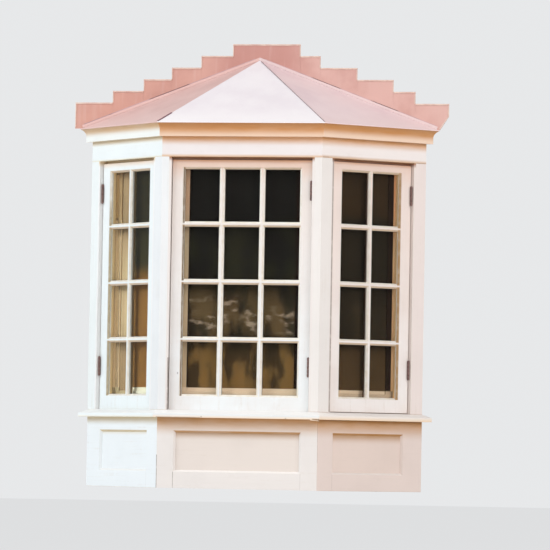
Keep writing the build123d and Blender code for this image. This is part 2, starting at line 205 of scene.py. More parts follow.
class Finish:
    """A material being mixed: its node tree and its shader. Tones are paint chart colours."""

    def __init__(self, name):
        self.material = bpy.data.materials.new(name)
        self.material.use_nodes = True
        self.tree = self.material.node_tree
        self.shader = self.tree.nodes["Principled BSDF"]
        self.spot = self.add("TexCoord").outputs["Object"]

    def add(self, kind, **sockets):
        made = self.tree.nodes.new("ShaderNode" + kind)
        for socket, value in sockets.items():
            self.feed(made, socket.replace("_", " "), value)
        return made

    def feed(self, made, socket, value):
        if isinstance(value, bpy.types.NodeSocket):
            self.tree.links.new(value, made.inputs[socket])
        else:
            made.inputs[socket].default_value = value

    def axis(self, vector, name):
        return self.add("SeparateXYZ", Vector=vector).outputs[name]

    def facet(self, side):
        """Coordinates square to a facet: X along it from its corner, -Y outwards, Z up."""
        if side == "front":
            shift = (FRONT / 2, DEPTH, 0)
            return self.add("Mapping", Vector=self.spot, Location=shift).outputs[0]
        turn, flip = (-TURN, 1) if side == "right" else (TURN, -1)
        turned = self.add("Mapping", Vector=self.spot, Rotation=(0, 0, turn)).outputs[0]
        shift = ((DEPTH - FRONT / 2) * cos(TURN), (DEPTH + FRONT / 2) * cos(TURN), 0)
        return self.add("Mapping", Vector=turned, Scale=(flip, 1, 1), Location=shift).outputs[0]

    def on_side(self, side):
        """1 on the left or the right facet and 0 elsewhere."""
        return self.ramp(self.axis(self.spot, "X"), *ON_SIDE[side])

    def facing_up(self):
        """1 on a face that looks up, -1 on one that looks down."""
        return self.axis(self.add("TexCoord").outputs["Normal"], "Z")

    def noise(self, vector, scale, detail=3.0):
        """Cloudy noise at one scale, or at three scales along X, Y and Z."""
        if isinstance(scale, tuple):
            vector = self.add("Mapping", Vector=vector, Scale=scale).outputs[0]
            scale = 1.0
        made = self.add("TexNoise", Vector=vector, Scale=scale, Detail=detail, Roughness=0.55)
        return made.outputs["Fac"]

    def ramp(self, value, low, high, to_low=0.0, to_high=1.0):
        made = self.add("MapRange", Value=value)
        made.interpolation_type = "SMOOTHSTEP"
        made.inputs["From Min"].default_value = low
        made.inputs["From Max"].default_value = high
        made.inputs["To Min"].default_value = to_low
        made.inputs["To Max"].default_value = to_high
        return made.outputs["Result"]

    def band(self, value, low, high, soft):
        """1 between two values, fading over a soft edge."""
        rise = self.ramp(value, low - soft, low)
        fall = self.ramp(value, high, high + soft, 1.0, 0.0)
        return self.times(rise, fall)

    def math(self, operation, a, b=0.0):
        made = self.add("Math")
        made.operation = operation
        self.feed(made, 0, a)
        self.feed(made, 1, b)
        return made.outputs[0]

    def times(self, *values):
        result = values[0]
        for value in values[1:]:
            result = self.math("MULTIPLY", result, value)
        return result

    def mix(self, factor, a, b):
        made = self.add("Mix")
        made.data_type = "RGBA"
        self.feed(made, 0, factor)
        for socket, value in ((6, a), (7, b)):
            self.feed(made, socket, colour(*value) if isinstance(value, tuple) else value)
        return made.outputs[2]

    def blend(self, value, low, high, a, b, most=1.0):
        """From one tone towards another as a value goes from low to high."""
        return self.mix(self.ramp(value, low, high, 0.0, most), a, b)

    def bump(self, height, strength, distance):
        made = self.add("Bump", Height=height, Strength=strength, Distance=distance)
        self.tree.links.new(made.outputs[0], self.shader.inputs["Normal"])

    def done(self, tone, cloud, smooth, rough):
        """Give the shader its tone, and a roughness that drifts with a cloud of noise."""
        self.feed(self.shader, "Base Color", tone)
        self.feed(self.shader, "Roughness", self.ramp(cloud, 0.3, 0.7, smooth, rough))
        return self.material


def white_paint(name, side, grain, upper, lower, shade_bands=(), marks=(), under=0.6, room=None):
    """Gloss paint brushed along the grain, going from a lower to an upper tone as painted light
    and shade, with painted shade underneath and a painted highlight on faces that look up.

    Painted shade is (height where it is worst, how far up it fades, strength, tint). A mark is
    an open joint, a chip or a band of painted shade: (start and end along the facet, lowest,
    highest, strength). Undersides take painted shade by a share, and behind the glass the timber
    has its room side's tone.
    """
    f = Finish(name)
    local = f.facet(side)
    height = f.axis(f.spot, "Z")
    brushed = f.noise(local, (70, 70, 3) if grain == "up" else (3, 70, 70), 4.0)
    patches = f.noise(f.spot, 3.5, 4.0)
    fine = f.noise(f.spot, 45.0, 4.0)
    # Painted light and shade: from each part's lower tone, lit and cool, to its upper tone, warmer
    # and darker in the shade of the cornice
    tone = f.blend(height, 0.30, 1.45, lower, upper)
    tone = f.blend(patches, 0.4, 0.75, tone, darker(upper, 10), 0.5)
    streak = f.times(f.ramp(brushed, 0.5, 0.8), f.ramp(fine, 0.3, 0.7), 0.35)
    tone = f.mix(streak, tone, (214, 202, 190))
    facing = f.facing_up()
    # Painted shade: faces that look down take each facet's shade tint
    shaded_under = f.times(f.ramp(facing, -0.05, -0.6), f.ramp(patches, 0.2, 0.8, 0.7, 1.0), under)
    tone = f.mix(shaded_under, tone, UNDER_SHADE_TINT[side])
    # Painted highlight: faces that look up are paler
    tone = f.blend(facing, 0.3, 0.65, tone, (240, 236, 233), 0.6)
    uneven = f.ramp(f.noise(local, (6, 6, 30)), 0.25, 0.75, 0.82, 1.0)
    # Painted shade in bands, darkest at one height and fading from it
    for worst, fade, strength, tint in shade_bands:
        band_shade = f.times(f.ramp(height, worst + fade, worst), uneven, strength)
        tone = f.mix(band_shade, tone, tint)
    if room:
        tone = f.blend(f.axis(local, "Y"), GLASS_BACK - 0.001, GLASS_BACK + 0.010, tone, room)
    along = f.axis(local, "X")
    surface = brushed
    broken = f.ramp(f.noise(local, (28, 28, 28), 2.0), 0.3, 0.5, 0.6, 1.0)
    for start, stop, lowest, highest, strength in marks:
        soft = 0.35 * min(stop - start, highest - lowest)
        across = f.band(along, start + soft, stop - soft, soft)
        upright = f.band(height, lowest + soft, highest - soft, soft)
        mark = f.times(across, upright, broken, strength)
        tone = f.mix(mark, tone, JOINT_AND_SHADE_DARK)
        surface = f.math("SUBTRACT", surface, mark)
    f.bump(surface, 0.3, 0.0006)
    return f.done(tone, patches, 0.36, 0.52)


def bare_timber(name):
    f = Finish(name)
    grain = f.noise(f.spot, (2, 40, 40), 5.0)
    rings = f.noise(f.spot, (1, 12, 12), 2.0)
    tone = f.blend(grain, 0.3, 0.7, (176, 138, 98), (205, 168, 124))
    tone = f.blend(rings, 0.55, 0.7, tone, (150, 110, 74), 0.5)
    f.bump(grain, 0.3, 0.001)
    return f.done(tone, grain, 0.65, 0.8)


def tan_paint(name, side, main, foot_tone, high_shade, patches):
    """Screen frames: another tone along the foot, painted shade high up, and patches, most of them
    painted light and shade.

    A patch is (start and end along the facet, (lowest, highest), tint).
    """
    f = Finish(name)
    height = f.axis(f.spot, "Z")
    cloud = f.noise(f.spot, 6.0, 4.0)
    tone = f.blend(cloud, 0.3, 0.7, main, darker(main, 8))
    tone = f.blend(height, SCREEN_FOOT, SCREEN_FOOT - 0.006, tone, foot_tone)
    # Painted shade high up
    tone = f.blend(height, 1.10, 1.40, tone, high_shade)
    along = f.axis(f.facet(side), "X")
    for start, stop, (lowest, highest), tint in patches:
        patch = f.times(f.band(along, start, stop, 0.003), f.band(height, lowest, highest, 0.008))
        tone = f.mix(patch, tone, tint)
    f.shader.inputs["Specular IOR Level"].default_value = MATT
    f.bump(f.noise(f.spot, (60, 60, 3)), 0.2, 0.0006)
    return f.done(tone, cloud, 0.5, 0.65)


def pane_glass(name):
    """Old glass, slightly wavy, that casts no shadow."""
    f = Finish(name)
    wave = f.noise(f.spot, 4.0, 1.0)
    f.bump(wave, 0.04, 0.002)
    f.shader.inputs["Transmission Weight"].default_value = 1.0
    f.shader.inputs["IOR"].default_value = GLASS_BEND
    tone = f.blend(wave, 0.3, 0.7, (246, 249, 246), (252, 252, 249))
    glass = f.done(tone, wave, 0.0, 0.03)
    clear = f.add("BsdfTransparent")
    path = f.add("LightPath")
    through = f.add("MixShader", Fac=path.outputs["Is Shadow Ray"])
    f.tree.links.new(f.shader.outputs[0], through.inputs[1])
    f.tree.links.new(clear.outputs[0], through.inputs[2])
    f.tree.links.new(through.outputs[0], f.tree.nodes["Material Output"].inputs["Surface"])
    return glass


def front_mesh(f, height, dust):
    """Nearly black high up, brown in blotches lower down, with paler streaking as painted
    reflection.
    """
    thick = f.ramp(dust, 0.35, 0.65)
    blotch = f.ramp(f.noise(f.spot, (11, 11, 5)), 0.40, 0.60, 0.15, 1.0)
    tone = (17, 15, 13)
    for clean, dusty, amount, tint in (
        (1.30, 1.10, thick, (34, 33, 23)),
        (0.98, 0.74, blotch, (80, 64, 42)),
        (0.62, 0.50, blotch, (104, 78, 43)),
    ):
        tone = f.mix(f.times(f.ramp(height, clean, dusty), amount), tone, tint)
    # Painted reflection: paler streaking across the third row of panes
    reflection_streaks = f.ramp(f.noise(f.spot, (13, 13, 22), 5.0), 0.54, 0.72)
    return f.mix(f.times(f.band(height, 0.66, 0.80, 0.05), reflection_streaks, 0.8), tone, (150, 132, 114))


def right_mesh(f, height):
    """Dark brown, warmer high up and paler low down."""
    tone = f.blend(height, 1.24, 1.30, (30, 24, 15), (42, 30, 17))
    return f.blend(height, 0.66, 0.52, tone, (60, 45, 28))


def left_mesh(f, height, along, tone, here):
    """Brown over the lower half, and paler still beside the corner."""
    low_half = f.ramp(height, 1.02, 0.90)
    wood = f.mix(low_half, (44, 40, 21), (120, 84, 41))
    tone = f.mix(f.times(here, f.ramp(height, 1.26, 1.20, 0.6, 1.0)), tone, wood)
    beside_corner = f.times(here, f.ramp(along, 0.195, 0.150), 0.7)
    return f.mix(beside_corner, tone, f.mix(low_half, (80, 52, 32), (146, 104, 68)))


def bleached_mesh(f, height, local):
    """Striped tan, darker at both ends of the window."""
    stripes = f.noise(local, (60, 60, 1.5))
    pale = f.blend(stripes, 0.3, 0.7, (180, 158, 124), (166, 142, 108))
    shaded = f.blend(stripes, 0.3, 0.7, (150, 126, 95), (136, 112, 82))
    ends = f.math("MAXIMUM", f.ramp(height, 0.88, 1.30), f.ramp(height, 0.64, 0.54))
    return f.mix(ends, pale, shaded)


def insect_mesh(name):
    """Woven mesh, different on each facet, bleached by the wall on the left, taped at its foot."""
    f = Finish(name)
    height = f.axis(f.spot, "Z")
    local = f.facet("left")
    along = f.axis(local, "X")
    left, right = f.on_side("left"), f.on_side("right")
    dust = f.noise(f.spot, (7, 7, 4), 4.0)
    tone = front_mesh(f, height, dust)
    covered = f.times(right, f.ramp(dust, 0.3, 0.6, 0.8, 1.0))
    tone = f.mix(covered, tone, right_mesh(f, height))
    tone = left_mesh(f, height, along, tone, left)
    bleached = f.times(f.ramp(along, 0.372, 0.396), left)
    tone = f.mix(bleached, tone, bleached_mesh(f, height, local))
    taped = f.times(f.ramp(height, 0.3435, 0.3395), f.math("SUBTRACT", 1.0, bleached))
    tape = f.mix(left, f.mix(right, (194, 173, 150), (182, 162, 140)), (210, 204, 182))
    tone = f.mix(taped, tone, tape)
    f.shader.inputs["Specular IOR Level"].default_value = MATT
    f.bump(f.noise(f.spot, 420.0, 1.0), 0.4, 0.0004)
    return f.done(tone, dust, 0.85, 0.95)


def old_putty(name):
    """Painted putty, tan along the stiles, painted shade beside the front stile and on faces that
    look down.
    """
    f = Finish(name)
    patches = f.noise(f.spot, 30.0, 4.0)
    tone = f.blend(patches, 0.3, 0.7, (242, 239, 232), (232, 224, 210))
    left = f.times(f.on_side("left"), f.ramp(f.axis(f.spot, "Z"), 1.40, 1.26, 0.1, 1.0))
    front = f.band(f.axis(f.spot, "X"), -0.42, 0.42, 0.01)
    # On the front the tan beside the left stile is painted shade
    for side, here, start, stop, tint in (
        ("left", left, 0.530, 0.560, (182, 168, 140)),
        ("front", front, 0.1155, 0.1235, (122, 104, 82)),
        ("right", f.on_side("right"), 0.530, 0.560, (176, 142, 100)),
    ):
        stile = f.band(f.axis(f.facet(side), "X"), start, stop, 0.002)
        stile_tan = f.times(here, stile, f.ramp(patches, 0.3, 0.6, 0.8, 1.0))
        tone = f.mix(stile_tan, tone, tint)
    # Painted shade: faces that look down go tan
    tone = f.blend(f.facing_up(), -0.1, -0.6, tone, (214, 178, 138), 0.65)
    f.bump(patches, 0.2, 0.0006)
    return f.done(tone, patches, 0.45, 0.6)


def brown_hinge(name):
    f = Finish(name)
    rust = f.noise(f.spot, 90.0, 5.0)
    tone = f.blend(rust, 0.35, 0.65, (92, 66, 62), (138, 108, 102))
    f.bump(rust, 0.4, 0.0006)
    return f.done(tone, rust, 0.5, 0.8)


def roof_metal(name, main, faded, deep):
    """Painted sheet, faded towards the eaves and cloudy with old runs."""
    f = Finish(name)
    cloud = f.noise(f.spot, 4.0, 5.0)
    fine = f.noise(f.spot, 55.0, 3.0)
    tone = f.blend(cloud, 0.35, 0.7, main, deep)
    eaves = f.ramp(f.axis(f.spot, "Z"), EAVE + 0.10, EAVE)
    tone = f.mix(f.times(eaves, f.ramp(cloud, 0.3, 0.6, 0.5, 1.0)), tone, faded)
    tone = f.blend(fine, 0.55, 0.75, tone, deep, 0.25)
    f.bump(f.math("ADD", f.times(cloud, 3.0), fine), 0.15, 0.001)
    return f.done(tone, cloud, 0.42, 0.6)


def flashing_metal(name):
    """Rose paint over metal, warmer on the left and dustier over the roof."""
    f = Finish(name)
    cloud = f.noise(f.spot, 5.0, 5.0)
    run = f.noise(f.spot, (40, 40, 3), 4.0)
    across = f.axis(f.spot, "X")
    tone = f.blend(across, -0.9, 0.5, (209, 156, 141), (217, 175, 166))
    tone = f.blend(f.math("ABSOLUTE", across), 0.34, 0.12, tone, (192, 135, 126), 0.8)
    tone = f.blend(cloud, 0.4, 0.75, tone, (190, 138, 128), 0.6)
    tone = f.blend(run, 0.5, 0.8, tone, (222, 190, 182), 0.3)
    f.bump(cloud, 0.25, 0.002)
    return f.done(tone, cloud, 0.45, 0.65)


def hem_metal(name):
    f = Finish(name)
    patches = f.noise(f.spot, 18.0, 4.0)
    tone = f.blend(patches, 0.35, 0.7, (226, 202, 188), (212, 174, 162))
    f.bump(patches, 0.2, 0.0006)
    return f.done(tone, patches, 0.45, 0.6)


def seam_mastic(name, plain, dark, patches=()):
    """Old mastic, painted over, and dark from one X to another; along the wall that dark is
    painted shadow.
    """
    f = Finish(name)
    grain = f.noise(f.spot, 14.0, 4.0)
    across = f.axis(f.spot, "X")
    tone = f.blend(grain, 0.35, 0.7, plain, dark, 0.3)
    uneven = f.ramp(grain, 0.2, 0.5, 0.7, 1.0)
    for start, stop, strength in patches:
        tone = f.mix(f.times(f.band(across, start, stop, 0.02), uneven, strength), tone, dark)
    f.bump(grain, 0.3, 0.0008)
    return f.done(tone, grain, 0.6, 0.8)


# pieces

# Corners over SHARP are eased. A point within NEAR of a joint is on it.
SHARP = radians(25)
NEAR = 0.0005
JAMB_JOINTS = (("front", 0.040), ("front", 0.830), ("side", 0.068), ("side", 0.625))

# Width, thickness and rounding of each kind of strip, and where it lies
OUTWARDS = (0, -1, 0)
HEM, HEM_OUT = (0.0084, 0.0030, 0.0010), -0.0046
LAP, LAP_OUT = (0.0050, 0.0022, 0.0007), -0.0042
HEM_MIDDLE = 0.0042
LAP_TOP = 0.0088
LAP_IN = 0.0022
PLATE_GAP = 0.0006
UPTURN, UPTURN_LIFT = (0.0150, 0.0020, 0.0007), 0.0065
WALL_SEAM, WALL_SEAM_LIFT = (0.0046, 0.0028, 0.0012), 0.0146
BEAD, BEAD_OUT = (0.0046, 0.0030, 0.0010), -0.0234
PACKING, PACKING_OUT = (0.0120, 0.0111, 0.0006), -0.06995
PACKING_ALONG = 0.542
PACKING_HEIGHTS = (0.312, 1.505)
SPLINTER, SPLINTER_OUT = (0.0048, 0.0030, 0.0010), 0.0362
SPLINTER_START, SPLINTER_TIP = 0.400, 0.4485
ROOF_TOP = (0, -0.004, APEX)

KNUCKLE_RADIUS, KNUCKLE_LENGTH, KNUCKLE_STEP, KNUCKLE_ROUND = 0.0065, 0.0200, 0.0205, 0.0009
PIN_RADIUS, PIN_END = 0.0038, 0.0510
LEAF_PLACE, LEAF_SIZE, LEAF_ROUND = (0.0048, 0.0130, 0), (0.0022, 0.0260, 0.1020), 0.0004
HINGE_ALONG = {"front": 0.8112, "right": 0.6062, "left": 0.6062}
HINGE_TURN = {"front": 0, "right": TURN, "left": -TURN}
HINGE_HEIGHTS = (0.457, 1.399)
HINGE_OUT = -0.0152


def edit(piece):
    """Open a piece in edit mode with nothing selected."""
    bpy.ops.object.select_all(action="DESELECT")
    piece.select_set(True)
    bpy.context.view_layer.objects.active = piece
    bpy.ops.object.mode_set(mode="EDIT")
    bpy.ops.mesh.select_mode(type="EDGE")
    bpy.ops.mesh.select_all(action="DESELECT")


def select_sharp(piece, keep=lambda edge: True):
    """Select the outward corners of a piece that pass a test."""
    mesh = bmesh.from_edit_mesh(piece.data)
    for edge in mesh.edges:
        sharp = edge.is_manifold and edge.calc_face_angle_signed(0) > SHARP
        edge.select = bool(sharp and keep(edge))
    bmesh.update_edit_mesh(piece.data)


def ease(piece, radius, steps=2):
    """Round all outward corners of a piece."""
    edit(piece)
    select_sharp(piece)
    bpy.ops.mesh.bevel(offset=radius, segments=steps, affect="EDGES")
    bpy.ops.object.mode_set(mode="OBJECT")


def apply_place():
    bpy.ops.object.transform_apply(location=True, rotation=True, scale=True)


def finish_piece(piece, finish, smooth=20):
    """Leave edit mode, put the place in the mesh, paint it and fix it to the bay."""
    bpy.ops.object.mode_set(mode="OBJECT")
    apply_place()
    bpy.ops.object.shade_smooth_by_angle(angle=radians(smooth))
    piece.data.materials.clear()
    piece.data.materials.append(finish)
    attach(piece, "root")


def along_facet(point, side):
    """How far a point is along the front, or along the nearer side from its corner."""
    if side == "front":
        return point.x + FRONT / 2
    return (abs(point.x) - FRONT / 2) * cos(TURN) + (point.y + DEPTH) * sin(TURN)


def facet_point(side, along, out, height):
    """A place on a facet, so far along it, out from it and up."""
    if side == "front":
        return Vector((along - FRONT / 2, -DEPTH - out, height))
    flip = 1 if side == "right" else -1
    x = FRONT / 2 + along * cos(TURN) + out * sin(TURN)
    return Vector((flip * x, -DEPTH + along * sin(TURN) - out * cos(TURN), height))


def outwards(side):
    return facet_point(side, 0, 1, 0) - facet_point(side, 0, 0, 0)


def off_joints(edge):
    """False for an edge on the wall, on a mitre, or between a jamb and its post."""
    points = [vert.co for vert in edge.verts]
    if all(abs(p.y) < NEAR for p in points):
        return False
    if all(abs(abs(p.x) - FRONT / 2 + (p.y + DEPTH) * MITRE) < NEAR for p in points):
        return False
    for side, joint in JAMB_JOINTS:
        if all(abs(along_facet(p, side) - joint) < NEAR for p in points):
            return False
    return True


def eased_copy(node, name, radius, finish):
    """Stand a copy of a timber in for its node, with its arrises rubbed round."""
    piece = put(name, nodes[node].data.copy())
    edit(piece)
    bpy.ops.mesh.select_all(action="SELECT")
    bpy.ops.mesh.customdata_custom_splitnormals_clear()
    bpy.ops.mesh.remove_doubles(threshold=0.00002)
    bpy.ops.mesh.dissolve_limited(angle_limit=radians(0.5))
    bpy.ops.mesh.select_all(action="DESELECT")
    select_sharp(piece, off_joints)
    bpy.ops.mesh.bevel(offset=radius, segments=2, affect="EDGES", clamp_overlap=True)
    finish_piece(piece, finish)
    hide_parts(node)


def coat(node, finish):
    data = nodes[node].data
    data.materials.clear()
    data.materials.append(finish)


def strip(name, start, end, section, facing=OUTWARDS):
    """A flat strip from one point to another, its face turned one way, with eased edges."""
    width, thick, round_by = section
    start, end, facing = Vector(start), Vector(end), Vector(facing).normalized()
    length = (end - start).normalized()
    beside = facing.cross(length).normalized()
    bpy.ops.object.select_all(action="DESELECT")
    bpy.ops.mesh.primitive_cube_add(
        size=1,
        location=(start + end) / 2,
        rotation=Matrix((length, beside, facing)).transposed().to_euler(),
        scale=((end - start).length, width, thick),
    )
    piece = bpy.context.object
    piece.name = name
    apply_place()
    ease(piece, round_by)
    return piece


def join(name, parts):
    bpy.ops.object.select_all(action="DESELECT")
    for part in parts:
        part.select_set(True)
    bpy.context.view_layer.objects.active = parts[0]
    bpy.ops.object.join()
    parts[0].name = name
    return parts[0]


def hem_strip(start, stop, top):
    """The fold along the top of a plate, from one X to another."""
    middle = top - HEM_MIDDLE
    return strip("hem", (start, HEM_OUT, middle), (stop, HEM_OUT, middle), HEM)


def lap_strip(foot, top):
    """The fold down the end of a plate, between two points (X, Z)."""
    return strip("lap", (foot[0], LAP_OUT, foot[1]), (top[0], LAP_OUT, top[1]), LAP)


def flashing_hems(name, ends, flip, snip, finish):
    """Folded hem along the top of each step and down its outer end.

    A snip (width, height) cuts the last plate's lower corner, and its edge is folded too.
    """
    parts = []
    for k in range(1, len(ends)):
        top = FLASHING_TOP - k * COURSE
        start, stop = flip * (ends[k - 1] + PLATE_GAP), flip * (ends[k] - PLATE_GAP)
        parts.append(hem_strip(start, stop, top))
        last = k == len(ends) - 1
        foot = EAVE + snip[1] if last else max(EAVE + 0.006, top - COURSE)
        side = stop - flip * LAP_IN
        parts.append(lap_strip((side, foot), (side, top - LAP_TOP)))
    if snip[0]:
        end = ends[-1] - 0.0032
        corner = (flip * (end - snip[0]), EAVE + 0.004)
        parts.append(lap_strip(corner, (flip * end, EAVE + snip[1])))
    finish_piece(join(name, parts), finish)


def cap_hem(name, finish):
    """Folded hem along the top of the cap and down both of its ends."""
    left, right = -LEFT_STEPS[0], RIGHT_STEPS[0]
    parts = [hem_strip(left, right, FLASHING_TOP)]
    foot, top = FLASHING_TOP - HEM_MIDDLE - COURSE, FLASHING_TOP - LAP_TOP
    for x in (left + 0.0026, right - 0.0026):
        parts.append(lap_strip((x, foot), (x, top)))
    finish_piece(join(name, parts), finish)


def wall_line(flip):
    """Where a side slope meets the flashing: its top and foot, and upwards square to it."""
    top = Vector(ROOF_TOP)
    foot = Vector((flip * (FRONT / 2 + DEPTH + EAVE_OUT / sin(TURN)), top.y, EAVE))
    along = (foot - top).normalized()
    return top, foot, Vector((-flip * along.z, 0, flip * along.x))


def turned_up_edge(name, flip, finish):
    """The sheet's back edge, turned up against the flashing."""
    top, foot, up = wall_line(flip)
    lift = up * UPTURN_LIFT
    if flip > 0:
        lift.y = -0.0004
    piece = strip(name, top.lerp(foot, -0.0049) + lift, top.lerp(foot, 0.985) + lift, UPTURN)
    finish_piece(piece, finish)


def wall_seam(name, flip, finish):
    """Mastic along the turned-up edge."""
    top, foot, up = wall_line(flip)
    lift = up * WALL_SEAM_LIFT
    piece = strip(name, top.lerp(foot, 0.02) + lift, top.lerp(foot, 0.975) + lift, WALL_SEAM)
    finish_piece(piece, finish)


def hip_seam(name, flip, start, width, finish):
    """Mastic down a hip, from so far along it to the eaves."""
    top = Vector(ROOF_TOP)
    foot = Vector((flip * (FRONT / 2 + EAVE_OUT * MITRE), -DEPTH - EAVE_OUT, EAVE))
    rise = Vector((0, 0, 0.0008))
    piece = strip(name, top.lerp(foot, start) + rise, top.lerp(foot, 0.995) + rise,
                  (width, 0.0024, 0.0009), (0, -0.5, 1))
    finish_piece(piece, finish)


def sash_bead(name, side, start, stop, finish):
    """Paint built up in the joint between a shut sash and the sill."""
    height = SILL_TOP + 0.0018
    piece = strip(name, facet_point(side, start, BEAD_OUT, height),
                  facet_point(side, stop, BEAD_OUT, height), BEAD, outwards(side))
    finish_piece(piece, finish)


def screen_packing(name, side, finish):
    """Strip that closes the gap between a side sash and its screen, beside the wall stile."""
    low, high = (facet_point(side, PACKING_ALONG, PACKING_OUT, z) for z in PACKING_HEIGHTS)
    finish_piece(strip(name, low, high, PACKING, outwards(side)), finish)


def sill_splinter(name, finish):
    """A sliver split off the sill's lower edge beside the right-hand mitre."""
    y = -DEPTH - SPLINTER_OUT
    tip = (SPLINTER_TIP, y, SILL - 0.0070)
    piece = strip(name, (SPLINTER_START, y, SILL - 0.0022), tip, SPLINTER)
    edit(piece)
    bpy.ops.mesh.select_mode(type="VERT")
    mesh = bmesh.from_edit_mesh(piece.data)
    for vert in mesh.verts:
        vert.select = vert.co.x > SPLINTER_TIP - 0.0085
    bmesh.update_edit_mesh(piece.data)
    bpy.ops.transform.resize(value=(1, 0.5, 0.5), center_override=tip)
    finish_piece(piece, finish)


def hinge_model():
    """Five knuckles on a pin with round tips, and the edge of a leaf."""
    bpy.ops.object.select_all(action="DESELECT")
    parts = []
    for k in range(-2, 3):
        bpy.ops.mesh.primitive_cylinder_add(
            vertices=24, radius=KNUCKLE_RADIUS, depth=KNUCKLE_LENGTH,
            location=(0, 0, k * KNUCKLE_STEP))
        parts.append(bpy.context.object)
        ease(parts[-1], KNUCKLE_ROUND)
    for end in (-1, 1):
        bpy.ops.mesh.primitive_uv_sphere_add(
            segments=16, ring_count=8, radius=PIN_RADIUS,
            location=(0, 0, end * PIN_END), scale=(1, 1, 0.8))
        parts.append(bpy.context.object)
    bpy.ops.mesh.primitive_cube_add(size=1, location=LEAF_PLACE, scale=LEAF_SIZE)
    parts.append(bpy.context.object)
    ease(parts[-1], LEAF_ROUND, 1)
    model = join("hinge", parts)
    apply_place()
    return model


def butt_hinges(name, finish):
    """Two hinges on each sash."""
    model = hinge_model()
    hinges = []
    for side in ("front", "right", "left"):
        for height in HINGE_HEIGHTS:
            copy = put("hinge", model.data.copy())
            spot = Matrix.Translation(facet_point(side, HINGE_ALONG[side], HINGE_OUT, height))
            flip = Matrix.Diagonal((-1 if side == "left" else 1, 1, 1, 1))
            copy.data.transform(spot @ Matrix.Rotation(HINGE_TURN[side], 4, "Z") @ flip)
            if side == "left":
                copy.data.flip_normals()
            hinges.append(copy)
    bpy.data.objects.remove(model)
    piece = join(name, hinges)
    finish_piece(piece, finish, 30)
    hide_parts("hinges")


# tones, painted light and shade, and wear, by facet and timber

# Tones of one white paint for each facet and part, told apart by how each is lit: painted light
# and shade. The crown and panels are darker as painted shade, and the sash's upper tone is warmer
# than low_sash as painted shade under the cornice.
TONES = {
    "front": {
        "skirt": (233, 228, 225), "panel": (230, 220, 213), "sill": (235, 238, 239),
        "head": (236, 230, 230), "crown": (236, 206, 182), "jamb": (236, 230, 227),
        "sash": (235, 226, 221), "low_sash": (238, 242, 244),
    },
    "left": {
        "skirt": (240, 245, 248), "panel": (240, 245, 248), "sill": (242, 248, 249),
        "head": (237, 243, 244), "crown": (241, 243, 240), "jamb": (243, 243, 243),
        "sash": (238, 243, 244), "low_sash": (239, 246, 248),
    },
    "right": {
        "skirt": (231, 216, 209), "panel": (230, 213, 204), "sill": (243, 237, 231),
        "head": (243, 237, 235), "crown": (241, 214, 192), "jamb": (238, 228, 223),
        "sash": (238, 224, 217), "low_sash": (243, 239, 237),
    },
}
# Tones of the posts, told apart by side as painted light: cool where the left side is lit, pinker
# on the right
POSTS = {
    "left": {"corner": (236, 238, 240), "wall": (238, 243, 243)},
    "right": {"corner": (237, 233, 230), "wall": (238, 227, 223)},
}
# Room side of sashes and bars behind the glass, painted tan; each facet's tone is darkened or
# lightened as painted shade and light
ROOM_SIDE = {
    "front": {"sash": (128, 110, 88), "bar": (70, 52, 38)},
    "left": {"sash": (226, 202, 156), "bar": (104, 84, 54)},
    "right": {"sash": (252, 212, 160), "bar": (60, 40, 26)},
}

# Screen frames: main tone, along the foot, high up as painted shade, and patches. The near-black
# tint is painted deep shade.
DEEP_SHADE_DARK = (26, 14, 7)
WHOLE = (SCREEN_FOOT, SCREEN_TOP)
SHADE_LINE = 1.25
LIT = (SCREEN_FOOT, SHADE_LINE)
SCREENS = {
    "front": ((176, 156, 130), (194, 173, 150), (172, 140, 116), (
        # Painted deep shade in two bands on the front screen
        (0.142, 0.16, WHOLE, DEEP_SHADE_DARK),
        (0.720, 0.80, WHOLE, DEEP_SHADE_DARK),
    )),
    "left": ((172, 145, 108), (208, 205, 187), (146, 120, 86), (
        (0.385, 0.62, (0.20, 0.338), (166, 150, 118)),
        (0.385, 0.62, (SCREEN_FOOT, 0.58), (154, 132, 100)),
        # Painted light and shade: lighter beside the packing and at the inner edge where the sash
        # shades the frame, darker on a lit arris, and less light high up beside the packing
        (0.5358, 0.56, (SCREEN_FOOT - 0.001, SHADE_LINE), (226, 200, 160)),
        (0.506, 0.516, LIT, (144, 124, 98)),
        (0.495, 0.503, LIT, (208, 182, 144)),
        (0.5358, 0.56, (1.27, SCREEN_TOP), (196, 164, 118)),
    )),
    "right": ((240, 200, 156), (160, 142, 122), (246, 186, 140), (
        # Painted deep shade on the right screen beside the wall stile
        (0.49, 0.5330, WHOLE, DEEP_SHADE_DARK),
    )),
}

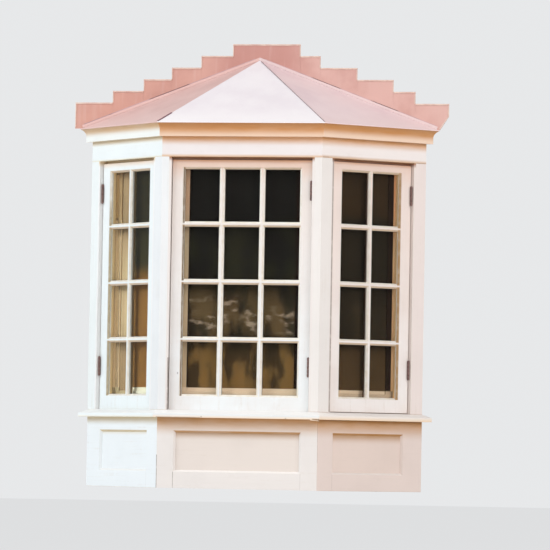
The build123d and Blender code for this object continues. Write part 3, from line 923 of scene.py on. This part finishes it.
# Painted shade below the sills, cornices and heads, on sash tops, in the head slots and the panel
# recesses: height where it is worst, how far up it fades, strength and tint
PINK_SHADE = (217, 170, 140)
SLOT_SHADE = (150, 84, 24)
PAINTED_SHADE = {
    "front": {
        "skirt": ((SILL, -0.108, 1.0, UNDER_SHADE_TINT["front"]), (SILL, -0.014, 0.3, (150, 108, 60))),
        "panel": ((PANEL_TOP, -0.054, 1.0, (174, 132, 86)),),
        "sill": ((SILL, 0.016, 0.8, (248, 222, 192)),),
        "head": ((CORNICE - 0.007, -0.044, 1.0, (222, 168, 118)),
                 (HEAD, 0.018, 0.85, (216, 170, 122))),
        "crown": ((CORNICE_TOP - 0.030, -0.043, 1.0, (200, 138, 80)),
                  (CORNICE_TOP, -0.007, 0.3, (160, 110, 62))),
        "jamb": ((HEAD, -0.030, 1.0, SLOT_SHADE), (HEAD, -0.007, 0.8, (204, 154, 106))),
        "sash": ((SASH_TOP, -0.024, 1.0, (166, 110, 62)), (SASH_TOP - 0.007, -0.135, 0.6, PINK_SHADE)),
    },
    "left": {
        "skirt": ((SILL, -0.048, 0.85, UNDER_SHADE_TINT["left"]),),
        "panel": ((PANEL_TOP, -0.034, 0.6, UNDER_SHADE_TINT["left"]),),
        "sill": ((SILL, 0.012, 0.8, (244, 236, 216)),),
        "head": ((CORNICE - 0.005, -0.028, 0.9, (220, 196, 158)),
                 (HEAD, 0.012, 0.6, (228, 218, 188))),
        "crown": ((CORNICE_TOP - 0.009, -0.044, 1.0, (208, 168, 126)),),
        "jamb": ((HEAD, -0.035, 0.9, (222, 190, 136)),),
        "sash": ((SASH_TOP, -0.032, 0.75, (232, 202, 174)),),
    },
    "right": {
        "skirt": ((SILL, -0.110, 1.0, UNDER_SHADE_TINT["right"]), (SILL, -0.018, 0.7, (140, 96, 44))),
        "panel": ((PANEL_TOP, -0.062, 1.0, (172, 126, 72)),),
        "sill": ((SILL, 0.022, 0.8, (246, 218, 182)),),
        "head": ((CORNICE - 0.007, -0.048, 1.0, (206, 152, 98)),
                 (HEAD, 0.020, 0.85, (204, 162, 118))),
        "crown": ((CORNICE_TOP - 0.025, -0.040, 1.0, (196, 136, 76)),
                  (CORNICE_TOP, -0.007, 0.3, (160, 110, 62))),
        "jamb": ((HEAD, -0.030, 1.0, SLOT_SHADE), (HEAD, -0.006, 0.8, (196, 150, 104))),
        "sash": ((SASH_TOP, -0.022, 0.75, (176, 122, 78)), (SASH_TOP - 0.007, -0.135, 0.35, PINK_SHADE)),
    },
}

# Open joints and chips, and a band of painted shade on the right jamb: start and end along the
# facet, lowest, highest and strength
MARKS = {
    "front": {
        "skirt": ((0.0880, 0.0915, BASE, JOINT_TOP, 0.8), (0.7790, 0.7815, BASE, JOINT_TOP, 0.35),
                  (0.0, 0.0028, BASE, -0.02, 0.8)),
        "sill": ((0.0, 0.24, SILL - 0.001, SILL + 0.004, 0.5),
                 (0.242, 0.251, SILL, SILL + 0.010, 0.5),
                 (0.699, 0.707, SILL, SILL + 0.006, 0.7),
                 (0.845, 0.886, SILL, SILL + 0.004, 0.9)),
        "jamb": ((0.0495, 0.0525, SILL_TOP, 0.50, 0.9),),
        "sash": ((0.098, 0.106, 0.410, 0.424, 0.5),),
    },
    "left": {
        "skirt": ((0.0, 0.0028, BASE, -0.02, 0.8), (0.0990, 0.1010, BASE, JOINT_TOP, 0.3)),
    },
    "right": {
        "skirt": ((0.0, 0.0022, -0.05, SILL, 0.6), (0.0990, 0.1012, BASE, JOINT_TOP, 0.4)),
        "head": ((0.004, 0.045, HEAD, HEAD + 0.008, 0.3), (0.627, 0.690, HEAD, HEAD + 0.003, 0.6)),
        # Painted shade: a dark band down the liner beside the right sash
        "jamb": ((0.0680, 0.0815, SILL_TOP, HEAD, 0.6),),
    },
}

# Each timber of a facet: piece, node, rounding, tone, grain, painted shade underneath, room side
TIMBERS = (
    ("skirt_timber", "skirt_frame", 0.0012, "skirt", "along", 1.0, None),
    ("sill_timber", "sill", 0.0012, "sill", "along", 0.6, None),
    ("head_timber", "header", 0.0012, "head", "along", 0.6, None),
    ("cornice_timber", "cornice", 0.0008, "crown", "along", 0.6, None),
    ("jamb_timber", "window_frame", 0.0012, "jamb", "up", 0.6, None),
    ("sash_timber", "sash", 0.0015, "sash", "up", 0.6, "sash"),
    ("bar_timber", "glazing_bars", 0.0012, "sash", "up", 0.6, "bar"),
)
RAW_BOARDS = (
    "wall_ledger", "soffit_board", "seat_board", "head_board", "roof_backboard", "roof_deck",
)
FLASHINGS = ("flashing_left", "flashing_right", "flashing_cap")

# Painted roof sheets and their upturns: main tone, at the eaves, in the clouds. The tones are
# partly
# painted reflection: the front sheet near white from the sky, the side sheets rose from the brick.
ROOF_SHEETS = (
    ("roof_sheet_front", "pale_roof", (242, 236, 239), (245, 240, 242), (234, 226, 231)),
    ("roof_sheet_left", "rose_roof_left", (222, 187, 182), (226, 193, 188), (212, 176, 171)),
    ("roof_sheet_right", "rose_roof_right", (241, 220, 222), (239, 216, 216), (232, 209, 213)),
)
UPTURNS = (
    ("upturn_left", -1, "rose_upturn_left", (228, 193, 187), (224, 188, 182), (222, 186, 180)),
    ("upturn_right", 1, "rose_upturn_right", (228, 206, 205), (228, 206, 205), (222, 200, 200)),
)
# Where the wall mastic is dark: painted shadow along the line of the wall
WALL_LINE_SHADE = ((-0.98, -0.83, 0.4), (-0.60, -0.40, 0.9), (0.30, 0.44, 0.9), (0.63, 0.76, 1.0))


def timber_paint(name, part, side, grain, under=0.6, room_part=None):
    """Paint for one timber of a facet, with its own painted shade and open joints."""
    upper = TONES[side][part]
    lower = TONES[side].get("low_" + part, upper)
    return white_paint(
        name + "_paint_" + side, side, grain, upper, lower,
        PAINTED_SHADE[side].get(part, ()), MARKS[side].get(part, ()), under,
        ROOM_SIDE[side].get(room_part))


# the bay

set_camera()
light_studio()
lay_ground()

raw = bare_timber("bare_softwood")
glass = pane_glass("window_pane")
paints = {}
for side in SIDES:
    screen = tan_paint("screen_paint_" + side, side, *SCREENS[side])
    for piece, node, radius, part, grain, under, room_part in TIMBERS:
        paint = timber_paint(room_part or part, part, side, grain, under, room_part)
        eased_copy(node + "_" + side, piece + "_" + side, radius, paint)
        paints[piece, side] = paint
    eased_copy("screen_frame_" + side, "screen_timber_" + side, 0.0012, screen)
    coat("skirt_panel_" + side, timber_paint("panel", "panel", side, "along"))
    coat("glass_" + side, glass)
    if side != "front":
        screen_packing("screen_packing_" + side, side, screen)
for side, tones in POSTS.items():
    for place, name, radius in (("corner", "corner", 0.0020), ("wall", "wall_post", 0.0015)):
        paint = white_paint(name + "_paint_" + side, side, "up", tones[place], tones[place])
        eased_copy(place + "_post_" + side, place + "_timber_" + side, radius, paint)
for node in RAW_BOARDS:
    coat(node, raw)
coat("putty", old_putty("painted_putty"))
coat("screen_mesh", insect_mesh("dark_insect_mesh"))
for node, name, *tones in ROOF_SHEETS:
    coat(node, roof_metal(name, *tones))
rose = flashing_metal("rose_flashing")
for node in FLASHINGS:
    coat(node, rose)

hem = hem_metal("cream_hem")
flashing_hems("hems_left", LEFT_STEPS, -1, (0, 0.006), hem)
flashing_hems("hems_right", RIGHT_STEPS, 1, (0.048, 0.074), hem)
cap_hem("hem_cap", hem)
for piece, flip, name, *tones in UPTURNS:
    turned_up_edge(piece, flip, roof_metal(name, *tones))
mastic = seam_mastic("wall_mastic", (206, 172, 174), (104, 72, 76), WALL_LINE_SHADE)
wall_seam("seam_left", -1, mastic)
wall_seam("seam_right", 1, mastic)
left_mastic = seam_mastic("left_hip_mastic", (120, 82, 92), (84, 52, 60))
right_mastic = seam_mastic("right_hip_mastic", (166, 146, 150), (120, 96, 100))
hip_seam("hip_left", -1, 0.86, 0.0095, left_mastic)
hip_seam("hip_right", 1, 0.02, 0.0042, right_mastic)
sill_splinter("sill_splinter", paints["sill_timber", "front"])
for side, start, stop in (("front", 0.053, 0.817), ("left", 0.081, 0.612)):
    paint = timber_paint("bead", "sash", side, "along")
    sash_bead("sash_bead_" + side, side, start, stop, paint)
butt_hinges("hinge_barrels", brown_hinge("brown_hinge"))
